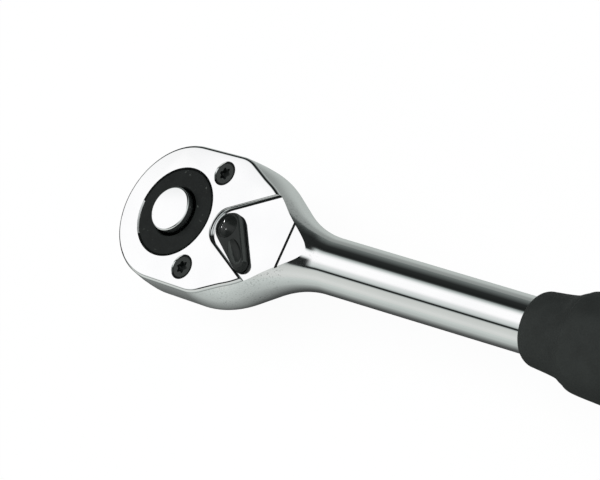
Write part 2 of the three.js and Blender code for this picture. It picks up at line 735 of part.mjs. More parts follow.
function makeShaft() {
  const groove = leverSealSection + seatGap;
  const turned = revolve([
    [0, cavityFloor - shaftFootLength + runGap], [shaftFootRadius, cavityFloor - shaftFootLength + runGap],
    [shaftFootRadius, cavityFloor + runGap], [shaftRadius, cavityFloor + runGap],
    [shaftRadius, leverSealLevel - groove], [leverSealFloor, leverSealLevel - groove],
    [leverSealFloor, leverSealLevel + groove], [shaftRadius, leverSealLevel + groove],
    [shaftRadius, leverFoot - seatGap], [0, leverFoot - seatGap],
  ], smallSteps);
  const half = shaftSquare / 2;
  const drive = box(-half, half, -half, half, leverFoot - 1, leverTop - domeSeat + seatGap + 0.2);
  const dome = [[0, leverTop - domeSeat + seatGap]];
  const domeSteps = 6;
  const crown = domeHeight + domeSeat - seatGap;
  const capRadius = (domeRadius ** 2 + crown ** 2) / (2 * crown);
  const opening = Math.asin(domeRadius / capRadius);
  for (let k = 0; k <= domeSteps; k++) {
    const swing = opening * (1 - k / domeSteps);
    const r = k === domeSteps ? 0 : capRadius * Math.sin(swing);
    dome.push([r, leverTop + domeHeight - capRadius * (1 - Math.cos(swing))]);
  }
  const whole = joinAll([solid(turned), solid(drive.rotateZ(leverRest)), solid(revolve(dome, smallSteps))]);
  const room = plungerReach - plungerLength - plungerSpringRoom - 2 * seatGap;
  const cross = rod(plungerRadius + runGap, room, shaftRadius + 1, 20);
  return whole.translate([leverPivot, 0, 0]).subtract(solid(aimAtPawl(cross)));
}

// Lever: a tapered thumb lever with eased top edges, a seat for the domed head and a thumb hollow
function makeLever() {
  const lean = Math.asin((leverEndRadius - leverTipRadius) / leverLength);
  const outline = (shrink) => {
    const shape = new THREE.Shape();
    const side = Math.PI / 2 - lean;
    shape.absarc(0, 0, leverEndRadius - shrink, side, 2 * Math.PI - side, false);
    shape.absarc(leverLength, 0, leverTipRadius - shrink, -side, side, false);
    return shape;
  };
  const blank = new THREE.ExtrudeGeometry(outline(0), {
    depth: leverThickness - 2 * leverEdge, bevelEnabled: true, bevelThickness: leverEdge,
    bevelSize: leverEdge,
    bevelOffset: -leverEdge, bevelSegments: 2, curveSegments: 12,
  });
  blank.translate(0, 0, leverFoot + leverEdge);
  const half = shaftSquare / 2 + seatGap;
  const eye = box(-half, half, -half, half, leverFoot - 1, leverTop + 1);
  const seat = rod(domeRadius + domeRoom, leverTop - domeSeat, leverTop + 1, smallSteps);
  const scoop = new THREE.SphereGeometry(1, 16, 10).scale(scoopLength, scoopWidth, scoopDepth);
  scoop.translate(scoopPlace, 0, leverTop + 0.1);
  const lever = cutAll(solid(blank), [eye, seat, scoop].map(solid));
  return lever.rotate([0, 0, leverRest / degree]).translate([leverPivot, 0, 0]);
}

// Grip's outer profile along the shank: rounded lip, waist, step up to the hand's swell, rounded end
function gripProfile() {
  const lipEnd = gripStart + gripLipRound;
  const profile = [[shankEndRadius + seatGap, gripStart]];
  const lipSteps = 5;
  for (let k = 1; k <= lipSteps; k++) {
    const swing = (Math.PI / 2) * (k / lipSteps);
    const r = mix(shankEndRadius, gripLipRadius, Math.sin(swing));
    profile.push([Math.max(r, shankEndRadius + 2 * seatGap), lipEnd - gripLipRound * Math.cos(swing)]);
  }
  const sweep = new THREE.SplineCurve([
    new THREE.Vector2(gripLipRadius, lipEnd),
    new THREE.Vector2(gripWaistRadius, gripStart + gripWaistPlace),
    new THREE.Vector2(mix(gripWaistRadius, gripBodyRadius, 0.6), gripStart + gripStepPlace),
    new THREE.Vector2(gripBodyRadius, gripStart + gripBodyPlace),
    new THREE.Vector2(gripBellyRadius, gripStart + 0.52 * gripLength),
    new THREE.Vector2(gripRearRadius, gripStart + 0.82 * gripLength),
    new THREE.Vector2(gripBodyRadius + 0.6, gripEnd - gripEndRound),
  ]);
  for (const spot of sweep.getPoints(20).slice(1)) profile.push([spot.x, spot.y]);
  const endSteps = 6;
  for (let k = 1; k <= endSteps; k++) {
    const swing = (Math.PI / 2) * (k / endSteps);
    const r = gripBodyRadius + 0.6 - gripEndRound * (1 - Math.cos(swing));
    profile.push([r, gripEnd - gripEndRound * (1 - Math.sin(swing))]);
  }
  return profile;
}

function makeGrip() {
  const hollow = [
    [0, gripEnd], [0, coreEnd + seatGap], [coreRadius + seatGap, coreEnd + seatGap],
    [coreRadius + seatGap, coreStart - seatGap], [shankEndRadius + seatGap, coreStart - seatGap],
    [shankEndRadius + seatGap, gripStart],
  ];
  return solid(revolveAlongShank(gripProfile().concat(hollow), gripSteps));
}

function makeCore() {
  const bore = tangRadius + seatGap;
  return solid(revolveAlongShank([
    [bore, coreStart], [coreRadius, coreStart], [coreRadius, coreEnd], [0, coreEnd],
    [0, tangEnd + seatGap], [bore, tangEnd + seatGap], [bore, coreStart],
  ], gripSteps));
}

const ratchet = new THREE.Group();
const springShape = coil("release_spring", springRadius, springWire, springTurns, springRoom);
const plungerSpringShape = coil(
  "pawl_spring", plungerSpringRadius, plungerSpringWire, plungerSpringTurns, plungerSpringRoom);
const plungerSpringFoot = plungerReach - plungerLength - plungerSpringRoom - seatGap;
plungerSpringShape.translate(0, 0, plungerSpringFoot);
const gearSealShape = roundRing(gearSealRadius, gearSealSection, gearSealLevel, gripSteps);
const ballShape = new THREE.SphereGeometry(ballRadius, 18, 10);
const leverSealShape = roundRing(leverSealRadius, leverSealSection, leverSealLevel, 24);

ratchet.add(
  piece("ratchet_body", makeBody(), materials.chrome),
  piece("cover_plate", makeCover(), materials.chrome),
  piece("cover_screw_left", makeScrew(1), materials.blackSteel),
  piece("cover_screw_right", makeScrew(-1), materials.blackSteel),
  piece("drive_gear", makeGear(), materials.blackSteel),
  piece("gear_seal", solid(gearSealShape), materials.rubber),
  piece("release_button", makeButton(), materials.chrome),
  piece("release_pin", makePin(), materials.brightSteel),
  piece("release_spring", solid(springShape.translate(0, 0, springFoot)), materials.brightSteel),
  piece("detent_ball", solid(ballShape.translate(0, -ballRest, ballHeight)), materials.brightSteel),
  piece("pawl", makePawl(), materials.brightSteel),
  piece("pawl_plunger", makePlunger(), materials.brightSteel),
  piece("pawl_spring", solid(aimAtPawl(plungerSpringShape)), materials.brightSteel),
  piece("reversing_lever", makeLever(), materials.leverBlack),
  piece("lever_shaft", makeShaft(), materials.leverBlack),
  piece("lever_seal", solid(leverSealShape.translate(leverPivot, 0, 0)), materials.rubber),
  piece("grip_core", makeCore(), materials.hardPlastic),
  piece("grip_sleeve", makeGrip(), materials.rubber),
);

export default ratchet;
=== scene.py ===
import math

import bmesh
import bpy
from mathutils import Matrix, Vector


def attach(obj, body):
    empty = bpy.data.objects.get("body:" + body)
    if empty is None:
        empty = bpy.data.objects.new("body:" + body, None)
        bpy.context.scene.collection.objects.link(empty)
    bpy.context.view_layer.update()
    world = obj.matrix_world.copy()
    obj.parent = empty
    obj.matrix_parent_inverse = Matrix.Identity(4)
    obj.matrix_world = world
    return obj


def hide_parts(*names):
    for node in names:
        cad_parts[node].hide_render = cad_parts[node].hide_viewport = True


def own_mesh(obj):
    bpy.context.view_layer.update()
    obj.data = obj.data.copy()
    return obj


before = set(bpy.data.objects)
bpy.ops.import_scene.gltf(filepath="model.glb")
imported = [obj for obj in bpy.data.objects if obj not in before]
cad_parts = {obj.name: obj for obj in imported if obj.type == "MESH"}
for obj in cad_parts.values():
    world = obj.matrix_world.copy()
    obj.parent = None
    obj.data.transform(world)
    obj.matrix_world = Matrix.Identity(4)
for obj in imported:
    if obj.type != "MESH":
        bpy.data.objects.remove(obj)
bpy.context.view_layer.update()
scene = bpy.context.scene
scene.view_settings.view_transform = "Standard"
millimetre = 0.001
weldDistance = 0.0004  # in millimetres
levelFacing = 0.99995  # faces this level are shaded flat
print("frame loaded:", len(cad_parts), "nodes")


# Mesh helpers. Shapes are worked in millimetres and brought to metres when they are finished.

def mixed(a, b, share):
    return a + (b - a) * share


def easeBetween(x, start, end):
    share = min(max((x - start) / (end - start), 0), 1)
    return share * share * (3 - 2 * share)


def makeChain(bm, points):
    verts = [bm.verts.new(p) for p in points]
    return [bm.edges.new(pair) for pair in zip(verts, verts[1:])]


def makeLoop(bm, points):
    verts = [bm.verts.new(p) for p in points]
    return [bm.edges.new((verts[k - 1], verts[k])) for k in range(len(verts))]


def arcPoints(centreX, centreY, radius, start, end, steps):
    turns = [math.radians(mixed(start, end, k / steps)) for k in range(steps + 1)]
    return [(centreX + radius * math.cos(t), centreY + radius * math.sin(t)) for t in turns]


def turnProfile(points, steps, axis=(0, 0, 1), centre=(0, 0, 0)):
    bm = bmesh.new()
    makeChain(bm, points)
    bmesh.ops.spin(bm, geom=bm.verts[:] + bm.edges[:], cent=centre, axis=axis, angle=2 * math.pi,
                   steps=steps, use_merge=True)
    cleanUp(bm)
    return bm


def turnUpright(points, steps, place=(0, 0)):
    bm = turnProfile([(r, 0, z) for r, z in points], steps)
    bmesh.ops.translate(bm, verts=bm.verts[:], vec=(place[0], place[1], 0))
    return bm


def makePrism(points, low, high):
    bm = bmesh.new()
    loop = makeLoop(bm, [(x, y, low) for x, y in points])
    foot = bmesh.ops.contextual_create(bm, geom=loop)["faces"]
    raised = bmesh.ops.extrude_face_region(bm, geom=foot)["geom"]
    topVerts = [item for item in raised if isinstance(item, bmesh.types.BMVert)]
    bmesh.ops.translate(bm, verts=topVerts, vec=(0, 0, high - low))
    bmesh.ops.recalc_face_normals(bm, faces=bm.faces[:])
    return bm


# a solid from outlines of equal length, one above the other
def makeStack(outlines):
    bm = bmesh.new()
    loops = [makeLoop(bm, [(x, y, z) for x, y in points]) for points, z in outlines]
    for lower, upper in zip(loops, loops[1:]):
        bmesh.ops.bridge_loops(bm, edges=lower + upper)
    for loop in (loops[0], loops[-1]):
        bmesh.ops.contextual_create(bm, geom=loop)
    bmesh.ops.recalc_face_normals(bm, faces=bm.faces[:])
    return bm


def cleanUp(bm):
    bmesh.ops.remove_doubles(bm, verts=bm.verts[:], dist=weldDistance)
    bmesh.ops.recalc_face_normals(bm, faces=bm.faces[:])


def roundEdges(bm, edges, offset, segments):
    bmesh.ops.bevel(bm, geom=edges, offset=offset, offset_type="OFFSET", segments=segments, profile=0.5,
                    affect="EDGES", material=-1, clamp_overlap=True)


def holdAside(bm, name):
    mesh = bpy.data.meshes.new(name)
    bm.to_mesh(mesh)
    bm.free()
    held = bpy.data.objects.new(name, mesh)
    scene.collection.objects.link(held)
    return held


def cutAway(bm, tools):
    blank = holdAside(bm, "blank")
    cutters = [holdAside(tool, "cutter") for tool in tools]
    for cutter in cutters:
        step = blank.modifiers.new("cut", "BOOLEAN")
        step.operation = "DIFFERENCE"
        step.solver = "EXACT"
        step.object = cutter
    shaped = blank.evaluated_get(bpy.context.evaluated_depsgraph_get())
    result = bmesh.new()
    result.from_mesh(shaped.to_mesh())
    shaped.to_mesh_clear()
    for held in [blank] + cutters:
        mesh = held.data
        bpy.data.objects.remove(held)
        bpy.data.meshes.remove(mesh)
    bmesh.ops.remove_doubles(result, verts=result.verts[:], dist=weldDistance)
    return result


def addPiece(bm, name, body, material, nodes, sharpAngle=30):
    bmesh.ops.scale(bm, vec=(millimetre,) * 3, verts=bm.verts[:])
    mesh = bpy.data.meshes.new(name)
    bm.to_mesh(mesh)
    bm.free()
    for polygon in mesh.polygons:
        polygon.use_smooth = abs(polygon.normal.z) < levelFacing
    mesh.set_sharp_from_angle(angle=math.radians(sharpAngle))
    mesh.materials.append(material)
    made = bpy.data.objects.new(name, mesh)
    scene.collection.objects.link(made)
    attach(made, body)
    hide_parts(*nodes)
    print("piece", name, len(mesh.polygons), "faces")
    return made


def joinMesh(bm, extra):
    mesh = bpy.data.meshes.new("extra")
    extra.to_mesh(mesh)
    extra.free()
    bm.from_mesh(mesh)
    bpy.data.meshes.remove(mesh)


def copyOfNode(node):
    bm = bmesh.new()
    bm.from_mesh(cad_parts[node].data)
    bmesh.ops.scale(bm, vec=(1 / millimetre,) * 3, verts=bm.verts[:])
    bmesh.ops.remove_doubles(bm, verts=bm.verts[:], dist=0.002)
    return bm


# Material helpers

def addNode(tree, kind, values=None, **settings):
    node = tree.nodes.new(kind)
    for key, value in settings.items():
        setattr(node, key, value)
    for key, value in (values or {}).items():
        node.inputs[key].default_value = value
    return node


def objectPlace(tree, scale=(1, 1, 1)):
    where = addNode(tree, "ShaderNodeTexCoord")
    mapping = addNode(tree, "ShaderNodeMapping", {"Scale": scale})
    tree.links.new(where.outputs["Object"], mapping.inputs["Vector"])
    return mapping.outputs["Vector"]


def noiseAt(tree, place, scale, detail=3.0, roughness=0.5):
    noise = addNode(tree, "ShaderNodeTexNoise", {"Scale": scale, "Detail": detail, "Roughness": roughness})
    tree.links.new(place, noise.inputs["Vector"])
    return noise.outputs["Fac"]


def spread(tree, value, low, high, start=0.3, end=0.7):
    change = addNode(tree, "ShaderNodeMapRange",
                     {"From Min": start, "From Max": end, "To Min": low, "To Max": high})
    tree.links.new(value, change.inputs["Value"])
    return change.outputs["Result"]


def colours(tree, value, stops):
    ramp = addNode(tree, "ShaderNodeValToRGB")
    while len(ramp.color_ramp.elements) < len(stops):
        ramp.color_ramp.elements.new(0.5)
    for element, (position, colour) in zip(ramp.color_ramp.elements, stops):
        element.position = position
        element.color = (*colour, 1)
    tree.links.new(value, ramp.inputs["Fac"])
    return ramp.outputs["Color"]


def bumpFrom(tree, height, distance):
    bump = addNode(tree, "ShaderNodeBump", {"Distance": distance, "Strength": 1.0})
    tree.links.new(height, bump.inputs["Height"])
    return bump.outputs["Normal"]


# one maths node; a plain number goes on its socket
def reckon(tree, operation, *values):
    node = addNode(tree, "ShaderNodeMath", operation=operation)
    for socket, value in zip(node.inputs, values):
        if isinstance(value, float):
            socket.default_value = value
        else:
            tree.links.new(value, socket)
    return node.outputs[0]


# a mix of two colours, each a plain colour or another node's
def mixColours(tree, share, first, second):
    mix = addNode(tree, "ShaderNodeMix", data_type="RGBA")
    tree.links.new(share, mix.inputs["Factor"])
    for socket, value in ((mix.inputs[6], first), (mix.inputs[7], second)):
        if isinstance(value, tuple):
            socket.default_value = (*value, 1)
        else:
            tree.links.new(value, socket)
    return mix.outputs[2]


def splitPlace(tree, place):
    parts = addNode(tree, "ShaderNodeSeparateXYZ")
    tree.links.new(place, parts.inputs[0])
    return parts.outputs


def newMaterial(name, metallic=0.0, specular=0.5):
    material = bpy.data.materials.new(name)
    material.use_nodes = True
    shader = material.node_tree.nodes["Principled BSDF"]
    shader.inputs["Metallic"].default_value = metallic
    shader.inputs["Specular IOR Level"].default_value = specular
    return material, material.node_tree, shader


chromeLook = {"tone": ((0.87, 0.872, 0.88), (0.9, 0.9, 0.905)), "gloss": (0.035, 0.07), "marks": 0.0000012,
              "scratch": (0.25, 0.27, 0.27), "scratchStretch": (1, 7, 1)}


def makeChrome(name, look, gloss, marks, stretch, satin=None, scratches=None):
    material, tree, shader = newMaterial(name, metallic=1.0)
    cloud = noiseAt(tree, objectPlace(tree), 60, 4)
    tone = colours(tree, cloud, [(0.35, look["tone"][0]), (0.65, look["tone"][1])])
    rubbed = noiseAt(tree, objectPlace(tree, stretch), 900, 4, 0.6)
    rough = spread(tree, rubbed, *gloss)
    if scratches:
        tone = addMarks(tree, tone, look["scratchStretch"], scratches, look["scratch"])
    if satin:
        tone, rough = addSatin(tree, tone, rough, satin)
    tree.links.new(tone, shader.inputs["Base Color"])
    tree.links.new(rough, shader.inputs["Roughness"])
    fine = noiseAt(tree, objectPlace(tree, stretch), 2600, 2)
    tree.links.new(bumpFrom(tree, fine, marks), shader.inputs["Normal"])
    return material


# the forging is satin near the head, rougher and with small dark specks, and polished along the shank
satinForm = {"from": 40, "to": 60, "low": 34.55, "high": 34.7, "rough": 0.16, "speckScale": 1900,
             "speck": 0.6, "speckEdge": (0.57, 0.64), "speckTone": (0.16, 0.17, 0.165),
             "patchScale": 90, "patchEdge": (0.42, 0.6)}


def addSatin(tree, tone, rough, satin):
    place = splitPlace(tree, objectPlace(tree))
    along = spread(tree, place["X"], 1, 0, satin["from"] * millimetre, satin["to"] * millimetre)
    below = spread(tree, place["Z"], 1, 0, satin["low"] * millimetre, satin["high"] * millimetre)
    onWall = reckon(tree, "MULTIPLY", along, below)
    raised = reckon(tree, "MULTIPLY_ADD", onWall, satin["rough"], rough)
    grain = noiseAt(tree, objectPlace(tree), satin["speckScale"], 3, 0.65)
    speck = spread(tree, grain, 0, satin["speck"], *satin["speckEdge"])
    cloud = noiseAt(tree, objectPlace(tree), satin["patchScale"], 2)
    patch = spread(tree, cloud, 0, 1, *satin["patchEdge"])
    amount = reckon(tree, "MULTIPLY", reckon(tree, "MULTIPLY", onWall, patch), speck)
    return mixColours(tree, amount, tone, satin["speckTone"]), raised


# sparse small marks of another tone, long ones where the place is stretched
def addMarks(tree, tone, stretch, scale, colour):
    dots = spread(tree, noiseAt(tree, objectPlace(tree, stretch), scale, 2), 0, 0.85, 0.7, 0.73)
    return mixColours(tree, dots, tone, colour)


def makeBlackSteel(name, tones, gloss, specular=0.25, specks=None):
    material, tree, shader = newMaterial(name, metallic=0.0, specular=specular)
    cloud = noiseAt(tree, objectPlace(tree), 240, 6, 0.62)
    tone = colours(tree, cloud, tones)
    if specks:
        tone = addMarks(tree, tone, (1, 1, 1), specks, (0.1, 0.11, 0.1))
        tone = addMarks(tree, tone, (9, 1, 1), specks, (0.045, 0.05, 0.047))
    tree.links.new(tone, shader.inputs["Base Color"])
    grain = noiseAt(tree, objectPlace(tree), 3400, 3)
    tree.links.new(spread(tree, grain, *gloss), shader.inputs["Roughness"])
    tree.links.new(bumpFrom(tree, grain, 0.000006), shader.inputs["Normal"])
    return material


def makeRubber(name):
    material, tree, shader = newMaterial(name, specular=0.3)
    cloud = noiseAt(tree, objectPlace(tree), 130, 5, 0.6)
    tree.links.new(colours(tree, cloud, [(0.3, (0.0235, 0.026, 0.025)), (0.7, (0.035, 0.039, 0.0375))]),
                   shader.inputs["Base Color"])
    grain = noiseAt(tree, objectPlace(tree), 2400, 3, 0.6)
    tree.links.new(spread(tree, grain, 0.62, 0.82), shader.inputs["Roughness"])
    tree.links.new(bumpFrom(tree, grain, 0.00006), shader.inputs["Normal"])
    return material


def makeGroundSteel(name):
    material, tree, shader = newMaterial(name, metallic=1.0)
    cloud = noiseAt(tree, objectPlace(tree), 200, 4)
    tree.links.new(colours(tree, cloud, [(0.3, (0.46, 0.46, 0.47)), (0.7, (0.6, 0.6, 0.61))]),
                   shader.inputs["Base Color"])
    lines = noiseAt(tree, objectPlace(tree, (1, 1, 12)), 1200, 3)
    tree.links.new(spread(tree, lines, 0.2, 0.38), shader.inputs["Roughness"])
    tree.links.new(bumpFrom(tree, lines, 0.000004), shader.inputs["Normal"])
    return material


def makePlastic(name):
    material, tree, shader = newMaterial(name, specular=0.4)
    cloud = noiseAt(tree, objectPlace(tree), 90, 4)
    tree.links.new(colours(tree, cloud, [(0.3, (0.035, 0.036, 0.04)), (0.7, (0.05, 0.051, 0.055))]),
                   shader.inputs["Base Color"])
    grain = noiseAt(tree, objectPlace(tree), 1500, 3)
    tree.links.new(spread(tree, grain, 0.4, 0.55), shader.inputs["Roughness"])
    return material


shankChrome = makeChrome("shankChrome", chromeLook, (0.02, 0.05), 0.0000016, (6, 1, 1), satinForm)
faceChrome = makeChrome("faceChrome", chromeLook, chromeLook["gloss"], chromeLook["marks"], (1, 3, 1))
buttonChrome = makeChrome("buttonChrome", chromeLook, chromeLook["gloss"], chromeLook["marks"], (1, 3, 1),
                          scratches=160)
edgeChrome = makeChrome("edgeChrome", chromeLook, (0.45, 0.55), chromeLook["marks"], (1, 1, 1))
blackOxide = makeBlackSteel("blackOxide", [(0.3, (0.0055, 0.0068, 0.0065)), (0.7, (0.0105, 0.013, 0.0125))],
                            (0.4, 0.56), 0.19, 700)
# a lighter copy of the screws' black, painted light on their flat tops
screwLitTop = makeBlackSteel("screwLitTop", [(0.3, (0.028, 0.0315, 0.03)), (0.7, (0.038, 0.042, 0.04))],
                            (0.36, 0.48), 0.22)
leverBlack = makeBlackSteel("leverBlack", [(0.3, (0.017, 0.0195, 0.0185)), (0.7, (0.025, 0.028, 0.027))],
                            (0.36, 0.48), 0.22)
domeBlack = makeBlackSteel("domeBlack", [(0.3, (0.012, 0.0135, 0.013)), (0.7, (0.019, 0.021, 0.02))],
                           (0.13, 0.19), 0.22)
# near-black steel used as painted shade on edge rounds, notch walls, the ring chamfer, screw chamfers and the
# lever hollow's far wall
paintedShade = makeBlackSteel("paintedShade", [(0.3, (0.006, 0.0065, 0.0065)), (0.7, (0.018, 0.02, 0.0195))],
                          (0.5, 0.6), 0.03)
# a lighter copy of the lever's black, painted light on its sloped sides and the hollow's lit walls
leverLitSide = makeBlackSteel("leverLitSide", [(0.3, (0.06, 0.066, 0.063)), (0.7, (0.088, 0.094, 0.091))],
                           (0.45, 0.55), 0.3)
gripRubber = makeRubber("gripRubber")
groundSteel = makeGroundSteel("groundSteel")
corePlastic = makePlastic("corePlastic")
print("materials made")


# Forged body: half sections set round the head's front and along the handle, then mirrored

bodyForm = {
    "headRadius": 21.1, "seat": 34.8, "top": 36.0, "bottom": 18.0, "bottomRound": 8.0, "headCrown": 34.0,
    "neckCrown": 1.04, "edgeStart": 18.9, "edgeAngle": 26.5, "edgeRound": 12.0, "neckFrom": 27.0,
    "neckFull": 40.0, "straightTo": 12.0, "neckStart": 24.6, "neckAngle": 32.0, "shoulderRound": 30.0,
    "neckFillet": 34.0, "fold": 44.2, "foldGroove": 0.9, "foldGrooveDepth": 0.25,
    "shankLevel": 26.27, "shankRadius": 7.95, "shankEndRadius": 7.4, "shankFlat": 0.02, "gripStart": 124.3,
    "shankEnd": 130.3, "tangRadius": 6.0, "tangLength": 78.0, "frontSteps": 36,
}
seatAbove = bodyForm["seat"] - bodyForm["shankLevel"]
headWidest = bodyForm["headRadius"] / math.sqrt(1 - (seatAbove / bodyForm["headCrown"]) ** 2)
neckTurn = math.radians(bodyForm["neckAngle"])
shoulderFrom = bodyForm["neckStart"] - bodyForm["shoulderRound"] * math.tan(neckTurn / 2)
shoulderTo = shoulderFrom + bodyForm["shoulderRound"] * math.sin(neckTurn)
neckEnd = bodyForm["neckStart"] + (headWidest - bodyForm["shankRadius"]) / math.tan(neckTurn)
filletTo = neckEnd + bodyForm["neckFillet"] * math.tan(neckTurn / 2)
filletFrom = filletTo - bodyForm["neckFillet"] * math.sin(neckTurn)


def shankRadiusAt(x):
    share = min(max((x - filletTo) / (bodyForm["gripStart"] - filletTo), 0), 1)
    return mixed(bodyForm["shankRadius"], bodyForm["shankEndRadius"], share)


def halfWidthAt(x):
    if x <= shoulderFrom:
        return headWidest
    if x <= shoulderTo:
        bend = bodyForm["shoulderRound"]
        return headWidest - bend + math.sqrt(bend ** 2 - (x - shoulderFrom) ** 2)
    if x <= filletFrom:
        return headWidest - (x - bodyForm["neckStart"]) * math.tan(neckTurn)
    if x <= filletTo:
        bend = bodyForm["neckFillet"]
        return bodyForm["shankRadius"] + bend - math.sqrt(bend ** 2 - (filletTo - x) ** 2)
    return shankRadiusAt(x)


def faceEdgeAt(x):
    form = bodyForm
    turn = math.radians(form["edgeAngle"])
    bend = form["edgeRound"]
    bendFrom = form["edgeStart"] - bend * math.tan(turn / 2)
    if x <= bendFrom:
        return form["headRadius"]
    if x <= bendFrom + bend * math.sin(turn):
        return form["headRadius"] - bend + math.sqrt(bend ** 2 - (x - bendFrom) ** 2)
    return form["headRadius"] - (x - form["edgeStart"]) * math.tan(turn)


# the oval meets the face's edge on the head, and is the neck's own round behind it
def halfHeightAt(x):
    form = bodyForm
    width = halfWidthAt(x)
    headHeight = seatAbove / math.sqrt(1 - (max(faceEdgeAt(x), 0) / width) ** 2)
    neckHeight = width * mixed(form["neckCrown"], 1, easeBetween(x, form["fold"], filletTo))
    return mixed(headHeight, neckHeight, easeBetween(x, form["neckFrom"], form["neckFull"]))


def seatEdgeAt(x):
    return halfWidthAt(x) * math.sqrt(1 - (seatAbove / halfHeightAt(x)) ** 2)


# Half a section: flat top, the oval's side, a short wall, the rounded bottom edge, flat bottom
def sectionPoints(x):
    form = bodyForm
    width = halfWidthAt(x)
    height = halfHeightAt(x)
    radius = shankRadiusAt(x)
    under = easeBetween(x, shoulderFrom, filletTo)
    bottom = mixed(form["bottom"], form["shankLevel"] - radius, under)
    bottomRound = mixed(form["bottomRound"], radius - form["shankFlat"], under)
    reach = min(1, (form["top"] - form["shankLevel"]) / height)
    opening = min(math.asin(reach), math.acos(form["shankFlat"] / width))
    side = []
    for k in range(25):
        swing = opening * (1 - k / 24)
        side.append((width * math.cos(swing), form["shankLevel"] + height * math.sin(swing)))
    points = [(side[0][0] * k / 4, side[0][1]) for k in range(4)] + side
    for k in range(19):
        swing = math.pi / 2 * k / 18
        points.append((width - bottomRound * (1 - math.cos(swing)),
                       bottom + bottomRound * (1 - math.sin(swing))))
    low = points[-1][0]
    return points + [(low * (1 - k / 4), bottom) for k in range(1, 5)]


def buildForging():
    bm = bmesh.new()
    stations = [0, bodyForm["straightTo"] * 0.5, bodyForm["straightTo"]]
    stations += [mixed(bodyForm["straightTo"], shoulderTo, k / 34) for k in range(1, 35)]
    stations += [mixed(shoulderTo, filletFrom, k / 5) for k in range(1, 6)]
    stations += [mixed(filletFrom, filletTo + 1, k / 26) for k in range(1, 27)]
    stations += [mixed(filletTo + 1, bodyForm["shankEnd"], k / 10) for k in range(1, 11)]
    rows = [makeChain(bm, [(x, y, z) for y, z in sectionPoints(x)]) for x in stations]
    frontVerts = {v for edge in rows[0] for v in edge.verts}
    for first, second in zip(rows, rows[1:]):
        bmesh.ops.bridge_loops(bm, edges=first + second)
    bmesh.ops.spin(bm, geom=list(frontVerts) + rows[0], cent=(0, 0, 0), axis=(0, 0, 1), angle=math.pi / 2,
                   steps=bodyForm["frontSteps"])
    bmesh.ops.remove_doubles(bm, verts=bm.verts[:], dist=weldDistance)
    bmesh.ops.mirror(bm, geom=bm.verts[:] + bm.edges[:] + bm.faces[:], matrix=Matrix.Identity(4),
                     merge_dist=weldDistance, axis="Y")
    bmesh.ops.remove_doubles(bm, verts=bm.verts[:], dist=weldDistance)
    rim = [e for e in bm.edges if e.is_boundary]
    bmesh.ops.holes_fill(bm, edges=rim, sides=0)
    bmesh.ops.recalc_face_normals(bm, faces=bm.faces[:])
    # the tang runs on inside the grip
    shoulder = bodyForm["shankEnd"] - 0.1
    endFaces = [f for f in bm.faces if f.normal.x > 0.9 and f.calc_center_median().x > shoulder]
    bmesh.ops.inset_region(bm, faces=endFaces, thickness=bodyForm["shankEndRadius"] - bodyForm["tangRadius"])
    raised = bmesh.ops.extrude_face_region(bm, geom=endFaces)["geom"]
    tangVerts = [item for item in raised if isinstance(item, bmesh.types.BMVert)]
    bmesh.ops.translate(bm, verts=tangVerts, vec=(bodyForm["tangLength"], 0, 0))
    bmesh.ops.delete(bm, geom=endFaces, context="FACES")
    cleanUp(bm)
    return bm


def makeBox(low, high):
    bm = bmesh.new()
    bmesh.ops.create_cube(bm, size=1)
    bmesh.ops.scale(bm, vec=[b - a for a, b in zip(low, high)], verts=bm.verts[:])
    bmesh.ops.translate(bm, verts=bm.verts[:], vec=[(a + b) / 2 for a, b in zip(low, high)])
    return bm


wellForm = {"boreRadius": 11.85, "cavityRadius": 15.2, "cavityFloor": 24.25, "shaftHole": 3.15,
            "footHole": 2.15, "footDepth": 3.0, "leverPivot": 22.6, "screwX": 12.07, "screwY": 14.74,
            "screwHole": 1.75, "screwFrom": 22.5, "sealFrom": 20.375, "sealTo": 21.875, "sealRadius": 13.25,
            "under": 10, "over": 60}


# the pawl's pocket behind the gear, and the window in which the plunger swings
pocketForm = {"mouth": 8.94, "side": 12.59, "reach": 15.1, "centre": 4.0, "shift": 2.0, "top": 31.25,
              "corner": (1.9, 1.7), "windowFrom": 17.8, "windowHalf": 4.54}


def pocketOutline():
    form = pocketForm
    opening = math.degrees(math.asin((form["side"] - form["shift"]) / form["reach"]))
    sideX = form["centre"] + form["reach"] * math.cos(math.radians(opening))
    lower = arcPoints(form["centre"], -form["shift"], form["reach"], -opening, 0, 24)
    upper = arcPoints(form["centre"], form["shift"], form["reach"], 0, opening, 24)
    cornerX = sideX - form["corner"][0]
    innerY = form["side"] - form["corner"][1]
    return ([(form["mouth"], -innerY), (cornerX, -form["side"])] + lower + upper +
            [(cornerX, form["side"]), (form["mouth"], innerY)])


